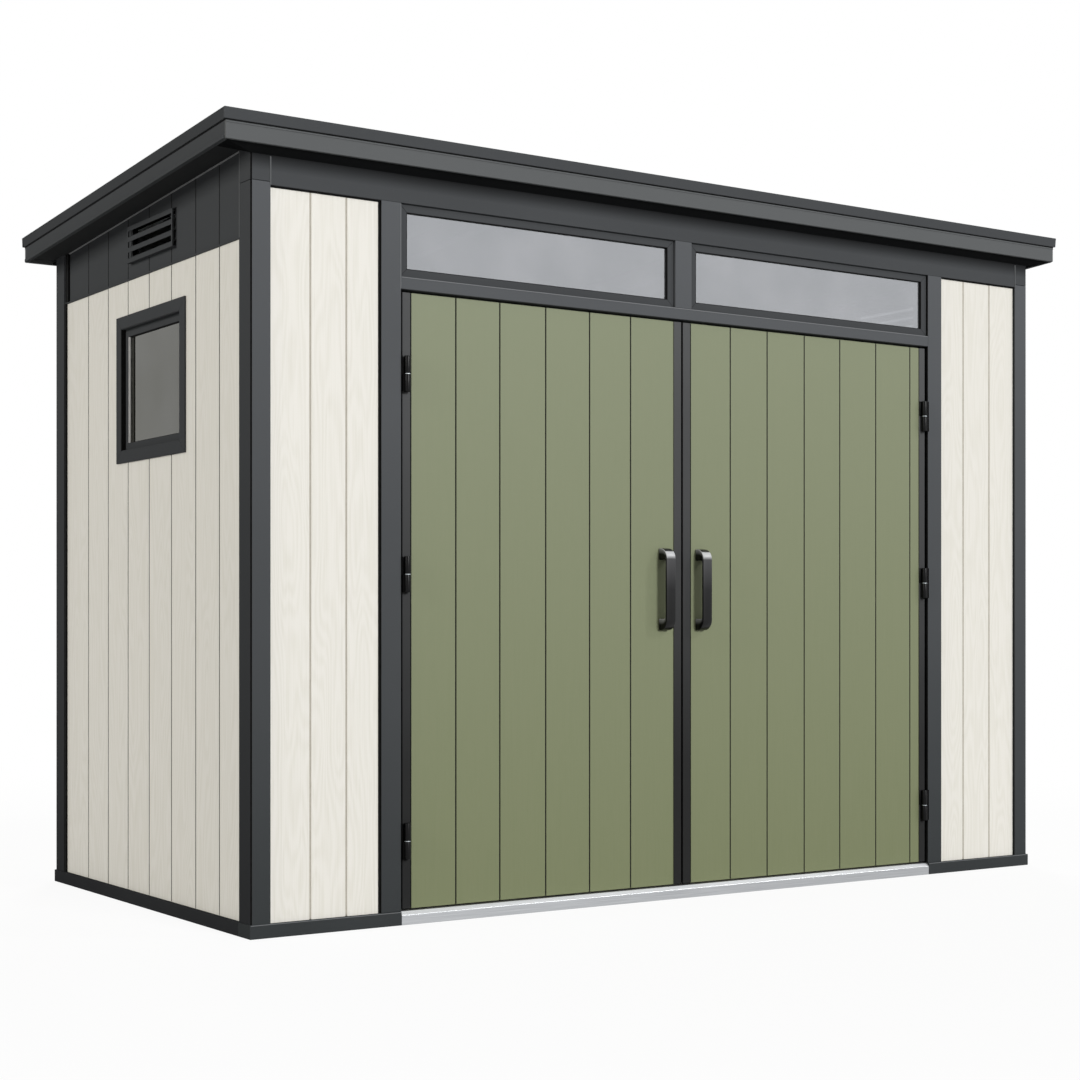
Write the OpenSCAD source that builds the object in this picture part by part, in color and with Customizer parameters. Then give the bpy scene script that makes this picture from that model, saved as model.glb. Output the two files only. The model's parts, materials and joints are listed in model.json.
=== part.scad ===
// Pent-roofed metal storage shed with a pair of boarded doors, a transom light over
// each door, one side window and louvred gable vents. Sizes are in millimetres.
// The origin is on the ground under the middle of the plan, with the front facing -Y.

/* [Overall] */
// Width over the corner posts
width = 3130; // [2700:10:3600]
// Depth over the corner posts
depth = 1540; // [1300:10:2000]
// Height of the soffit where it meets the front face
front_soffit_z = 2220; // [2150:1:2400]
// Fall of the roof from front to back, in degrees
roof_pitch = 3.4; // [2:0.1:6]

/* [Base] */
// Height of the base rails
base_h = 40; // [30:1:60]
// Step of the base rails out from the faces of the posts
base_proud = 4; // [0:1:10]
// Height of the sloping nose along the top of the threshold
threshold_nose = 11; // [6:1:16]

/* [Wall frame] */
// Width of a corner post, seen from the front
corner_w = 61; // [50:1:80]
// Depth of a corner post, seen from the side
corner_d = 76; // [70:1:100]
// Width of a door post
door_post_w = 66; // [50:1:90]
// Depth of the door posts, the rails and the header
frame_d = 70; // [60:1:80]
// Height of the front header
header_h = 100; // [70:1:130]
// Height of the corner blocks above the underside of the header
block_rise = 8; // [4:1:20]

/* [Cladding] */
// Thickness of the wall cladding
clad_t = 22; // [18:1:30]
// Set-back of the cladding behind the faces of the posts
clad_recess = 9; // [7:1:20]
// Set-back of the gable panels behind the face of the cladding
gable_recess = 4; // [0:1:8]
// Drop of the foot of the gable panels below the front header
gable_drop = 143; // [120:1:180]
// Width of the cladding between the left corner post and the door post
left_infill_w = 357; // [300:1:420]
// Width of the cladding between the right corner post and the door post
right_infill_w = 375; // [300:1:420]

/* [Transom lights] */
// Height of the opening for the transom lights
transom_h = 216; // [180:1:240]
// Height of the rail under the transom lights
transom_rail_h = 36; // [30:1:60]
// Width of the mullion between the transom lights
mullion_w = 67; // [50:1:90]
// Width of the bars of a transom frame
transom_bar = 24; // [20:1:36]
// Depth of the bars of a transom frame
transom_bar_d = 30; // [22:1:36]
// Set-back of a transom frame behind the face of the posts
transom_recess = 10; // [6:1:26]

/* [Doors] */
// Thickness of a door leaf
leaf_t = 36; // [30:1:44]
// Set-back of a door leaf behind the face of the posts
leaf_recess = 8; // [4:1:10]
// Gap between a leaf and its door post
hinge_gap = 8.5; // [7:0.5:12]
// Gap between the two leaves
meeting_gap = 7; // [6.5:0.5:12]
// Gap over a leaf
leaf_top_gap = 8; // [6:1:14]
// Gap under a leaf
leaf_bottom_gap = 6; // [5:1:12]
// Extra width of the right leaf, taken up by a narrow strip beside its hinges
leaf_difference = 46; // [0:1:80]
// Width of the stile on the hinge side
hinge_stile_w = 27; // [22:1:40]
// Width of the stile on the meeting side
meeting_stile_w = 30; // [22:1:45]
// Set-back of the boarded panel behind the face of its stiles
panel_recess = 3; // [1:0.5:6]
// Thickness of the boarded panel
panel_t = 26; // [18:1:32]

/* [Hinges] */
// Height of a hinge
hinge_h = 106; // [80:1:130]
// Diameter of a hinge knuckle
knuckle_d = 20; // [16:0.5:22]
// Diameter of a hinge pin
hinge_pin_d = 8; // [6:0.5:10]
// Distance of the hinge axis from the face of its door post
hinge_offset = 20; // [16:0.5:22]
// Height of the lowest hinge above the bottom of the leaf
low_hinge_rise = 200; // [150:5:260]
// Height of the middle hinge above the middle of the leaf
mid_hinge_rise = 77; // [0:1:120]
// Depth of the top hinge below the top of the leaf
top_hinge_drop = 241; // [150:1:300]

/* [Handles] */
// Length of a pull handle
handle_l = 263; // [200:1:320]
// Width of a pull handle
handle_w = 36; // [24:1:44]
// Distance of the front of a handle from the panel behind it
handle_reach = 43; // [38:1:46]
// Thickness of the grip of a handle
handle_t = 9; // [7:0.5:12]
// Height of each leg of a handle where it meets the panel
handle_leg = 37; // [28:1:44]
// Height of the middle of a handle above the bottom of the leaf
handle_rise = 950; // [850:5:1100]
// Distance of the middle of a handle from the meeting edge of its leaf
handle_inset = 71; // [60:1:100]

/* [Side window] */
// Width over the casing of the side window
window_w = 538; // [400:1:640]
// Height over the casing of the side window
window_h = 468; // [360:1:500]
// Distance from the front of the shed to the casing
window_y = 463; // [380:1:560]
// Drop of the top of the casing below the gable panel
window_drop = 110; // [60:1:200]
// Width of the bars of the casing
casing_bar = 39; // [30:1:52]
// Thickness of the casing on the face of the cladding
casing_t = 6; // [4:1:7]
// Width of the bars of the sash
sash_bar = 25; // [22:1:40]
// Depth of the sash
sash_d = 24; // [20:1:30]
// Set-back of the sash behind the face of the casing
sash_recess = 17; // [14:1:22]
// Set-back of the panes behind the faces of their frames
pane_recess = 8; // [4:1:14]

/* [Gable vents] */
// Width of a vent
vent_w = 355; // [240:1:400]
// Height of a vent
vent_h = 120; // [100:1:130]
// Distance from the front of the shed to a vent
vent_y = 543; // [400:1:700]
// Height of the bottom of a vent above the foot of the gable panel
vent_rise = 51; // [30:1:60]
// Overlap of a vent round the hole in the gable panel
vent_rim = 11; // [8:1:16]
// Distance that a vent stands out from the gable panel
vent_proud = 15; // [10:1:18]
// Height of the lip of a louvre blade
vent_lip = 14; // [10:1:16]
// Rise of a louvre blade from its lip inwards
blade_rise = 8; // [5:1:10]
// Width of the upright bars of a vent
vent_bar = 7; // [5:1:10]
// Thickness of the sheet of a vent
vent_sheet = 2.5; // [2:0.5:4]
// Number of louvre blades in a vent
vent_blades = 3; // [2:1:4]

/* [Roof] */
// Overhang of the roof at each side
side_overhang = 103; // [80:1:160]
// Overhang of the roof at the front and at the back
eaves_overhang = 50; // [44:1:120]
// Height of the cap along the top edge of the roof
cap_h = 32; // [24:1:50]
// Thickness of the cap, and its step out from the fascia
cap_t = 8; // [5:1:12]
// Width of the flange of the cap on top of the roof
cap_flange = 60; // [40:1:90]
// Thickness of the flange of the cap
flange_t = 4; // [2:0.5:6]
// Height of the fascia below the cap
fascia_h = 53; // [36:1:80]
// Thickness of the fascia
fascia_t = 10; // [6:1:14]
// Thickness of the soffit boards
soffit_t = 6; // [4:1:10]
// Drop of the front soffit from the fascia to the wall
soffit_drop = 17; // [6:1:30]
// Rise of the side soffits above the foot of the fascia
soffit_rise = 12; // [0:1:20]
// Step of the drip lip out from the bottom of the side fascias
lip = 5; // [2:0.5:7]
// Thickness of the roof deck
deck_t = 20; // [12:1:28]
// Number of standing seams on the roof
seam_count = 6; // [3:1:9]
// Height of a standing seam
seam_h = 14; // [8:1:16]
// Width of a standing seam
seam_w = 16; // [10:1:24]
// Number of rafters
rafter_count = 4; // [2:1:6]
// Width of a rafter
rafter_w = 45; // [30:1:60]

/* [Fits] */
// Fine joint between the sloping layers of the roof
seat = 0.1; // [0.05:0.05:0.5]
// Thickness of the glass
glass_t = 4; // [3:1:8]
// Open joint at each mitre of a window frame
mitre_joint = 0.4; // [0.2:0.1:1]
// Running clearance of a hinge pin in its knuckle, on the radius
pin_clear = 0.05; // [0.02:0.01:0.1]
// Thickness of the washer between the knuckles of a hinge
washer_t = 2; // [1:0.5:3]
// Clearance above the washer
washer_clear = 0.3; // [0.2:0.05:0.5]
// Thickness of a hinge leaf
hinge_leaf_t = 3; // [2:0.5:4]

/* [Hidden] */
$fn = 64;

// Finishes
anthracite = "#4b4d50";
cream = "#e6e3d9";
sage = "#868d72";
black = "#1f1f20";
silver = "#c4c6c9";
pane = "#8f969c";
zinc = "#9da3a6";

// Setting out of the front, from the left corner of the shed
left_post_x = corner_w + left_infill_w;
opening_x0 = left_post_x + door_post_w;
opening_x1 = width - corner_w - right_infill_w - door_post_w;
opening_w = opening_x1 - opening_x0;
leaves_w = opening_w - 2 * hinge_gap - meeting_gap;
left_leaf_w = (leaves_w - leaf_difference) / 2;
right_leaf_w = (leaves_w + leaf_difference) / 2;
left_leaf_x = opening_x0 + hinge_gap;
right_leaf_x = left_leaf_x + left_leaf_w + meeting_gap;
meeting_x = right_leaf_x - meeting_gap / 2;

// Heights on the front
header_z = front_soffit_z - header_h;
transom_z0 = header_z - transom_h;
rail_z0 = transom_z0 - transom_rail_h;
leaf_z0 = base_h + leaf_bottom_gap;
leaf_z1 = rail_z0 - leaf_top_gap;
leaf_h = leaf_z1 - leaf_z0;

// Roof: everything hangs from the sloping plane along the top of the cap
edge_h = cap_h + fascia_h;
roof_slope = tan(roof_pitch);
fascia_in = cap_t + fascia_t;
roof_x0 = -side_overhang;
roof_x1 = width + side_overhang;
roof_y0 = -eaves_overhang;
roof_y1 = depth + eaves_overhang;
function roof_top(y) = front_soffit_z + edge_h - roof_slope * y;
function soffit(y) = roof_top(y) - edge_h;

// Walls behind the frame
wall_in = clad_recess + clad_t;
gable_out = clad_recess + gable_recess;
gable_z = header_z - gable_drop;
window_z = gable_z - window_drop - window_h;
vent_z = gable_z + vent_rise;
casing_out = clad_recess - casing_t;
window_hole_w = window_w - 2 * casing_bar;
window_hole_h = window_h - 2 * casing_bar;
back_y = depth - corner_d;

// Hinges
axis_y = leaf_recess - knuckle_d / 2 - 0.5;
hinge_z = [leaf_z0 + low_hinge_rise, leaf_z0 + leaf_h / 2 + mid_hinge_rise, leaf_z1 - top_hinge_drop];
handle_z = leaf_z0 + handle_rise;

// Moves the setting-out corner, at the front left, to its place in the part's frame
module site() {
    translate([-width / 2, -depth / 2, 0]) children();
}

// Mirrors a piece to the other side of the shed
module opposite() {
    mirror([1, 0, 0]) children();
}

// A box between two corners
module block(low, high) {
    translate(low) cube(high - low);
}

// An outline in the plane of a side wall, drawn as [y, z] points and run from x0 to x1
module along_x(x0, x1) {
    translate([x0, 0, 0]) rotate([90, 0, 90]) linear_extrude(x1 - x0) children();
}

// A strip parallel to the roof, between two depths below its top
module roof_strip(x0, x1, y0, y1, upper, lower) {
    along_x(x0, x1) polygon([
        [y0, roof_top(y0) - upper], [y1, roof_top(y1) - upper],
        [y1, roof_top(y1) - lower], [y0, roof_top(y0) - lower]
    ]);
}

// A wall panel with a level bottom edge and a top edge along the slope of the soffit, raised by rise
module under_soffit(x0, x1, y0, y1, z0, rise = 0) {
    along_x(x0, x1) polygon([[y0, z0], [y1, z0], [y1, soffit(y1) + rise], [y0, soffit(y0) + rise]]);
}

// Four bars mitred into a frame, flat in the XY plane, with a fine open joint at each mitre
module mitred_bars(w, h, bar, d) {
    nick = mitre_joint * sqrt(2) / 2;
    for (side = [0, 1]) {
        translate([0, side * h, 0]) mirror([0, side, 0]) linear_extrude(d)
            polygon([[nick, 0], [w - nick, 0], [w - bar - nick, bar], [bar + nick, bar]]);
        translate([side * w, 0, 0]) mirror([side, 0, 0]) linear_extrude(d)
            polygon([[0, nick], [bar, bar + nick], [bar, h - bar - nick], [0, h - nick]]);
    }
}

// Stands a flat frame up in the front wall, its face at depth y
module in_front_wall(x, y, z) {
    translate([x, y, z]) rotate([90, 0, 0]) mirror([0, 0, 1]) children();
}

// Stands a flat frame up in the left wall, its face at x
module in_left_wall(x, y, z) {
    translate([x, y, z]) rotate([90, 0, 90]) children();
}

module base_front() {
    color(anthracite) site() {
        block([-base_proud, -base_proud, 0], [opening_x0, corner_d, base_h]);
        block([opening_x1, -base_proud, 0], [width + base_proud, corner_d, base_h]);
    }
}

module base_back() {
    color(anthracite) site() 
        block([-base_proud, back_y, 0], [width + base_proud, depth + base_proud, base_h]);
}

module base_sides() {
    color(anthracite) site() {
        block([-base_proud, corner_d, 0], [corner_w, back_y, base_h]);
        block([width - corner_w, corner_d, 0], [width + base_proud, back_y, base_h]);
    }
}

module threshold() {
    color(silver) site() along_x(opening_x0, opening_x1) polygon([
        [-base_proud, 0], [corner_d, 0], [corner_d, base_h],
        [threshold_nose - base_proud, base_h], [-base_proud, base_h - threshold_nose]
    ]);
}

module front_post(x) {
    color(anthracite) site() block([x, 0, base_h], [x + corner_w, corner_d, header_z + block_rise]);
}

module back_post(x) {
    color(anthracite) site() under_soffit(x, x + corner_w, back_y, depth, base_h, soffit_rise - seat);
}

module door_post(x) {
    color(anthracite) site() block([x, 0, base_h], [x + door_post_w, frame_d, header_z]);
}

module front_header() {
    color(anthracite) site() under_soffit(corner_w, width - corner_w, 0, frame_d, header_z);
}

module header_corner_blocks() {
    color(anthracite) site() for (x = [0, width - corner_w])
        under_soffit(x, x + corner_w, 0, corner_d, header_z + block_rise, soffit_rise - seat);
}

module transom_rail() {
    color(anthracite) site() block([opening_x0, 0, rail_z0], [opening_x1, frame_d, transom_z0]);
}

module transom_mullion() {
    color(anthracite) site()
        block([meeting_x - mullion_w / 2, 0, transom_z0], [meeting_x + mullion_w / 2, frame_d, header_z]);
}

module transom_frame(x0, x1) {
    color(anthracite) site() in_front_wall(x0, transom_recess, transom_z0)
        mitred_bars(x1 - x0, transom_h, transom_bar, transom_bar_d);
}

module transom_glass() {
    y = transom_recess + pane_recess;
    color(pane) site() for (light = [[opening_x0, meeting_x - mullion_w / 2], [meeting_x + mullion_w / 2, opening_x1]])
        block([light[0] + transom_bar, y, transom_z0 + transom_bar],
              [light[1] - transom_bar, y + glass_t, header_z - transom_bar]);
}

module front_cladding(x0, x1) {
    color(cream) site() block([x0, clad_recess, base_h], [x1, wall_in, header_z]);
}

module left_wall() {
    color(cream) site() difference() {
        block([clad_recess, corner_d, base_h], [wall_in, back_y, gable_z]);
        block([0, window_y + casing_bar, window_z + casing_bar],
              [wall_in + 1, window_y + window_w - casing_bar, window_z + window_h - casing_bar]);
    }
}

module right_wall() {
    color(cream) site()
        block([width - wall_in, corner_d, base_h], [width - clad_recess, back_y, gable_z]);
}

module back_wall() {
    color(cream) site()
        block([corner_w, depth - wall_in, base_h], [width - corner_w, depth - clad_recess, gable_z]);
}

module left_gable() {
    color(anthracite) site() difference() {
        under_soffit(gable_out, wall_in, corner_d, back_y, gable_z, soffit_rise - seat);
        block([0, vent_y + vent_rim, vent_z + vent_rim],
              [wall_in + 1, vent_y + vent_w - vent_rim, vent_z + vent_h - vent_rim]);
    }
}

module back_band() {
    color(anthracite) site()
        under_soffit(corner_w, width - corner_w, depth - frame_d, depth - gable_out, gable_z);
}

module side_window_casing() {
    color(anthracite) site() in_left_wall(casing_out, window_y, window_z)
        mitred_bars(window_w, window_h, casing_bar, casing_t);
}

module side_window_sash() {
    color(anthracite) site()
        in_left_wall(casing_out + sash_recess, window_y + casing_bar, window_z + casing_bar)
            mitred_bars(window_hole_w, window_hole_h, sash_bar, sash_d);
}

module side_window_glass() {
    inset = casing_bar + sash_bar;
    x = casing_out + sash_recess + pane_recess;
    color(pane) site() block([x, window_y + inset, window_z + inset],
                             [x + glass_t, window_y + window_w - inset, window_z + window_h - inset]);
}

// Profile of a louvre blade in X and Z: an upright lip at x0, then a sheet that rises inwards to x1
module blade_profile(x0, x1, rise) {
    polygon([
        [x0, 0], [x0 + vent_sheet, 0], [x0 + vent_sheet, vent_lip - vent_sheet], [x1, vent_lip + rise - vent_sheet],
        [x1, vent_lip + rise], [x0, vent_lip]
    ]);
}

// Louvred vent on the face of the gable panel: blades between two upright bars, closed at the top and the foot
module left_vent() {
    face = gable_out - vent_proud;
    hood_rise = vent_sheet * 2;
    bar_h = vent_h - hood_rise;
    pitch = (bar_h - vent_lip) / vent_blades;
    color(anthracite) site() {
        for (y = [vent_y, vent_y + vent_w - vent_bar])
            block([face, y, vent_z], [face + vent_sheet * 2, y + vent_bar, vent_z + bar_h]);
        for (i = [0 : vent_blades])
            translate([0, vent_y + vent_w, vent_z + i * pitch]) rotate([90, 0, 0]) linear_extrude(vent_w)
                if (i < vent_blades) blade_profile(face, gable_out - vent_sheet, blade_rise);
                else blade_profile(face, gable_out, hood_rise);
        block([face, vent_y, vent_z], [gable_out, vent_y + vent_w, vent_z + vent_sheet]);
    }
}

module rafters() {
    bay = (width - 2 * corner_w) / (rafter_count - 1);
    color(zinc) site() for (i = [0 : rafter_count - 1]) {
        x = corner_w + (bay - rafter_w / (rafter_count - 1)) * i;
        roof_strip(x, x + rafter_w, 0, depth, flange_t + deck_t + seat, edge_h - seat);
    }
}

module roof_deck() {
    color(anthracite) site()
        roof_strip(roof_x0 + fascia_in, roof_x1 - fascia_in, roof_y0 + fascia_in, roof_y1 - fascia_in,
                   flange_t + seat, flange_t + deck_t);
}

module roof_seams() {
    bay = (roof_x1 - roof_x0) / (seam_count + 1);
    color(anthracite) site() for (i = [1 : seam_count]) {
        x = roof_x0 + bay * i - seam_w / 2;
        roof_strip(x, x + seam_w, roof_y0 + cap_flange, roof_y1 - cap_flange, flange_t - seam_h, flange_t);
    }
}

// Cap along one eaves: a flange on the roof and a face that hangs in front of the fascia
module eaves_cap(edge_y, inward) {
    flange_y = edge_y + inward * cap_flange;
    face_y = edge_y + inward * cap_t;
    along_x(roof_x0, roof_x1) polygon([
        [edge_y, roof_top(edge_y)], [flange_y, roof_top(flange_y)],
        [flange_y, roof_top(flange_y) - flange_t], [face_y, roof_top(face_y) - flange_t],
        [face_y, roof_top(face_y) - cap_h], [edge_y, roof_top(edge_y) - cap_h]
    ]);
}

module roof_cap_eaves() {
    color(anthracite) site() {
        eaves_cap(roof_y0, 1);
        eaves_cap(roof_y1, -1);
    }
}

// Cap along one side, between the two eaves caps
module side_cap(edge_x, inward) {
    flange_x = edge_x + inward * cap_flange;
    face_x = edge_x + inward * cap_t;
    roof_strip(min(edge_x, face_x), max(edge_x, face_x), roof_y0 + cap_t, roof_y1 - cap_t, flange_t, cap_h);
    roof_strip(min(edge_x, flange_x), max(edge_x, flange_x), roof_y0 + cap_flange, roof_y1 - cap_flange, 0, flange_t);
}

module roof_cap_sides() {
    color(anthracite) site() {
        side_cap(roof_x0, 1);
        side_cap(roof_x1, -1);
    }
}

module eaves_fascias() {
    color(anthracite) site() for (y = [roof_y0 + cap_t, roof_y1 - fascia_in])
        roof_strip(roof_x0 + cap_t, roof_x1 - cap_t, y, y + fascia_t, flange_t + seat, edge_h);
}

module left_fascia() {
    face = roof_x0 + cap_t;
    y0 = roof_y0 + fascia_in;
    y1 = roof_y1 - fascia_in;
    roof_strip(face, face + fascia_t, y0, y1, flange_t + seat, edge_h);
    roof_strip(face - lip, face, y0, y1, edge_h - lip * 2, edge_h);
}

module side_fascias() {
    color(anthracite) {
        site() left_fascia();
        opposite() site() left_fascia();
    }
}

// Soffit board of the front, with a wedge at each end that leads up to the side soffit
module front_soffit() {
    y0 = roof_y0 + fascia_in;
    rise = soffit_rise - seat;
    color(anthracite) site() {
        along_x(0, width) polygon([
            [y0, soffit(y0)], [0, soffit(0) - soffit_drop], [0, soffit(0) + soffit_t], [y0, soffit(y0) + soffit_t]
        ]);
        for (x = [roof_x0 + fascia_in, width]) along_x(x, x + side_overhang - fascia_in) polygon([
            [y0, soffit(y0)], [0, soffit(0) - soffit_drop], [corner_d, soffit(corner_d) + rise], [y0, soffit(y0) + rise]
        ]);
    }
}

module back_soffit() {
    color(anthracite) site()
        roof_strip(0, width, depth, roof_y1 - fascia_in, edge_h - soffit_t, edge_h);
}

// Soffit board of the left side, laid over the posts as far as the face of the gable panel
module left_soffit() {
    foot = edge_h - soffit_rise;
    roof_strip(roof_x0 + fascia_in, 0, roof_y0 + fascia_in, roof_y1 - fascia_in, foot - soffit_t, foot);
    roof_strip(0, gable_out, 0, depth, foot - soffit_t, foot);
}

module side_soffits() {
    color(anthracite) {
        site() left_soffit();
        opposite() site() left_soffit();
    }
}

// The half of a hinge that is screwed into the reveal of the left door post
module fixed_hinge(z) {
    x = opening_x0 + hinge_offset;
    half = hinge_h / 2;
    translate([x, axis_y, z - half]) cylinder(d = knuckle_d, h = half - washer_t / 2);
    translate([x, axis_y, z - washer_t / 2]) cylinder(d = knuckle_d - 2, h = washer_t);
    translate([x, axis_y, z - half]) cylinder(d = hinge_pin_d, h = hinge_h - 4);
    block([opening_x0, axis_y - hinge_leaf_t / 2, z - half], [x, axis_y + hinge_leaf_t / 2, z - washer_t / 2]);
    block([opening_x0, axis_y - hinge_leaf_t / 2, z - half], [opening_x0 + hinge_leaf_t, frame_d / 2, z + half]);
}

// The half of a hinge that is screwed to the stile of the left leaf
module leaf_hinge(z) {
    x = opening_x0 + hinge_offset;
    low = washer_t / 2 + washer_clear;
    difference() {
        union() {
            translate([x, axis_y, z + low]) cylinder(d = knuckle_d, h = hinge_h / 2 - low);
            block([x, leaf_recess - hinge_leaf_t, z + low],
                  [left_leaf_x + hinge_stile_w, leaf_recess, z + hinge_h / 2]);
        }
        translate([x, axis_y, z]) cylinder(r = hinge_pin_d / 2 + pin_clear, h = hinge_h / 2 - 2);
    }
}

module fixed_hinges() {
    color(black) for (z = hinge_z) {
        site() fixed_hinge(z);
        right_hinge_side() site() fixed_hinge(z);
    }
}

// Mirrors the left hinge line onto the right door post
module right_hinge_side() {
    translate([opening_x0 + opening_x1 - width, 0, 0]) opposite() children();
}

// Stiles at the two edges of a leaf, the hinge stile at the given end
module leaf_stiles(x, w, hinge_at_left) {
    left_w = hinge_at_left ? hinge_stile_w : meeting_stile_w;
    right_w = hinge_at_left ? meeting_stile_w : hinge_stile_w;
    color(anthracite) site() {
        block([x, leaf_recess, leaf_z0], [x + left_w, leaf_recess + leaf_t, leaf_z1]);
        block([x + w - right_w, leaf_recess, leaf_z0], [x + w, leaf_recess + leaf_t, leaf_z1]);
    }
}

// Boarded panel between the stiles of a leaf
module leaf_panel(x, w, hinge_at_left) {
    left_w = hinge_at_left ? hinge_stile_w : meeting_stile_w;
    right_w = hinge_at_left ? meeting_stile_w : hinge_stile_w;
    y = leaf_recess + panel_recess;
    color(sage) site() block([x + left_w, y, leaf_z0], [x + w - right_w, y + panel_t, leaf_z1]);
}

// Outline of a pull handle from the side: x is the distance from the panel, y is the height
module handle_outline() {
    bend = handle_leg * 0.65;
    inner = handle_leg * 0.16;
    gap = handle_reach - handle_t;
    difference() {
        intersection() {
            square([handle_reach, handle_l]);
            hull() {
                square([handle_reach - bend, handle_l]);
                for (y = [bend, handle_l - bend]) translate([handle_reach - bend, y]) circle(bend);
            }
        }
        difference() {
            translate([-1, handle_leg]) square([gap + 1, handle_l - 2 * handle_leg]);
            for (end = [0, 1]) translate([gap, end * handle_l]) mirror([0, end]) difference() {
                translate([-inner, handle_leg]) square([inner + 1, inner]);
                translate([-inner, handle_leg + inner]) circle(inner);
            }
        }
    }
}

module door_handle(x) {
    y = leaf_recess + panel_recess;
    color(black) site() translate([x + handle_w / 2, y, handle_z - handle_l / 2])
        rotate([90, 0, -90]) linear_extrude(handle_w) handle_outline();
}

base_front();
base_back();
base_sides();
threshold();
front_post(0);  // front_left_post
front_post(width - corner_w);  // front_right_post
back_post(0);  // back_left_post
back_post(width - corner_w);  // back_right_post
door_post(left_post_x);  // left_door_post
door_post(opening_x1);  // right_door_post
front_header();
header_corner_blocks();
transom_rail();
transom_mullion();
transom_frame(opening_x0, meeting_x - mullion_w / 2);  // left_transom_frame
transom_frame(meeting_x + mullion_w / 2, opening_x1);  // right_transom_frame
transom_glass();
front_cladding(corner_w, left_post_x);  // front_left_cladding
front_cladding(opening_x1 + door_post_w, width - corner_w);  // front_right_cladding
left_wall();
right_wall();
back_wall();
left_gable();
opposite() left_gable();  // right_gable
back_band();
side_window_casing();
side_window_sash();
side_window_glass();
left_vent();
opposite() left_vent();  // right_vent
rafters();
roof_deck();
roof_seams();
roof_cap_eaves();
roof_cap_sides();
eaves_fascias();
side_fascias();
front_soffit();
back_soffit();
side_soffits();
fixed_hinges();
leaf_panel(left_leaf_x, left_leaf_w, true);  // left_door_panel
leaf_stiles(left_leaf_x, left_leaf_w, true);  // left_door_stiles
door_handle(left_leaf_x + left_leaf_w - handle_inset);  // left_door_handle
color(black) for (z = hinge_z) site() leaf_hinge(z);  // left_door_hinges
leaf_panel(right_leaf_x, right_leaf_w, false);  // right_door_panel
leaf_stiles(right_leaf_x, right_leaf_w, false);  // right_door_stiles
door_handle(right_leaf_x + handle_inset);  // right_door_handle
color(black) for (z = hinge_z) right_hinge_side() site() leaf_hinge(z);  // right_door_hinges
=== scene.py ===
# %% [markdown]
# # Metal storage shed
# The shed is a folded steel frame in dark grey, clad with cream boards, under a low pent
# roof. Two sage green boarded doors hang on lift-off hinges below a strip of transom
# lights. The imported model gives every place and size, so each step below takes a box from
# it, makes a finer mesh in that box and gives it a finish.

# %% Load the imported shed
import json
import math

import bmesh
import bpy
from mathutils import Matrix, Vector


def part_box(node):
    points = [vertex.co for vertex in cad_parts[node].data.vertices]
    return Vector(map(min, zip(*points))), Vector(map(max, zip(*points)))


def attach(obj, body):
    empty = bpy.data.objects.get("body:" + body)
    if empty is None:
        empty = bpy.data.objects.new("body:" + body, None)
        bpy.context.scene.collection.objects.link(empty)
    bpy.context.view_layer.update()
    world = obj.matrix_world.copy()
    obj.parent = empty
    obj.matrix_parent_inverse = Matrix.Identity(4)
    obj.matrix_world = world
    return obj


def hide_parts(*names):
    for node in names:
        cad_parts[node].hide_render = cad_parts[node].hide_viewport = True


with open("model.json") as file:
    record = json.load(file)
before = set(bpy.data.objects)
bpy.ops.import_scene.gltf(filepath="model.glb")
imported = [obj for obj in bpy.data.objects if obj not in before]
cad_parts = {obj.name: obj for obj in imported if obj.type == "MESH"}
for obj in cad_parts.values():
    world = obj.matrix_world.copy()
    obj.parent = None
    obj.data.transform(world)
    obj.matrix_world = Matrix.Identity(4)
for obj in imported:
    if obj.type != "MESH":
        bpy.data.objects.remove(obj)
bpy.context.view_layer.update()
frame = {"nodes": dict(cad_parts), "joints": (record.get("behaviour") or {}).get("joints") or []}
MM = 0.001

# %% [markdown]
# ## Camera
# The photograph was taken from the left of the doors, level and a little under chest
# height. A level camera keeps upright edges upright, and the frame is shifted upwards to
# take in the roof, as a view camera does.

# %% Camera
camera = bpy.data.objects.new("camera", bpy.data.cameras.new("camera"))
bpy.context.scene.collection.objects.link(camera)
camera.location = (-3.971, -5.808, 0.876)
camera.rotation_euler = (math.radians(90), 0, math.radians(-33.86))
camera.data.sensor_width = 36
camera.data.lens = 65.83
camera.data.shift_y = 0.0803
bpy.context.scene.camera = camera
print("camera", tuple(camera.location))

# %% [markdown]
# ## Colours and nodes
# Paint colours are written as the sRGB hex values that a paint chart gives. Shaders work in
# linear light, so one function turns them round. Another adds a shader node with its
# settings, and the inputs of a node are set or linked by a third, which keeps each finish
# short enough to read in one go.


# %% Colour and node helpers
def paint(code):
    parts = [int(code[i:i + 2], 16) / 255 for i in (1, 3, 5)]
    return tuple(c / 12.92 if c <= 0.04045 else ((c + 0.055) / 1.055) ** 2.4 for c in parts) + (1.0,)


def feed(tree, node, inputs):
    # a socket is linked, a node is linked by its first output, any other value is set
    for name, value in inputs.items():
        if isinstance(value, bpy.types.Node):
            value = value.outputs[0]
        if isinstance(value, bpy.types.NodeSocket):
            tree.links.new(value, node.inputs[name])
        else:
            node.inputs[name].default_value = value


def add_node(tree, kind, settings=None, inputs=None):
    node = tree.nodes.new(kind)
    for name, value in (settings or {}).items():
        setattr(node, name, value)
    feed(tree, node, inputs or {})
    return node


def new_finish(name):
    finish = bpy.data.materials.new(name)
    finish.use_nodes = True
    tree = finish.node_tree
    shader = tree.nodes["Principled BSDF"]
    place = add_node(tree, "ShaderNodeTexCoord").outputs["Object"]
    return finish, tree, shader, place


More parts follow.
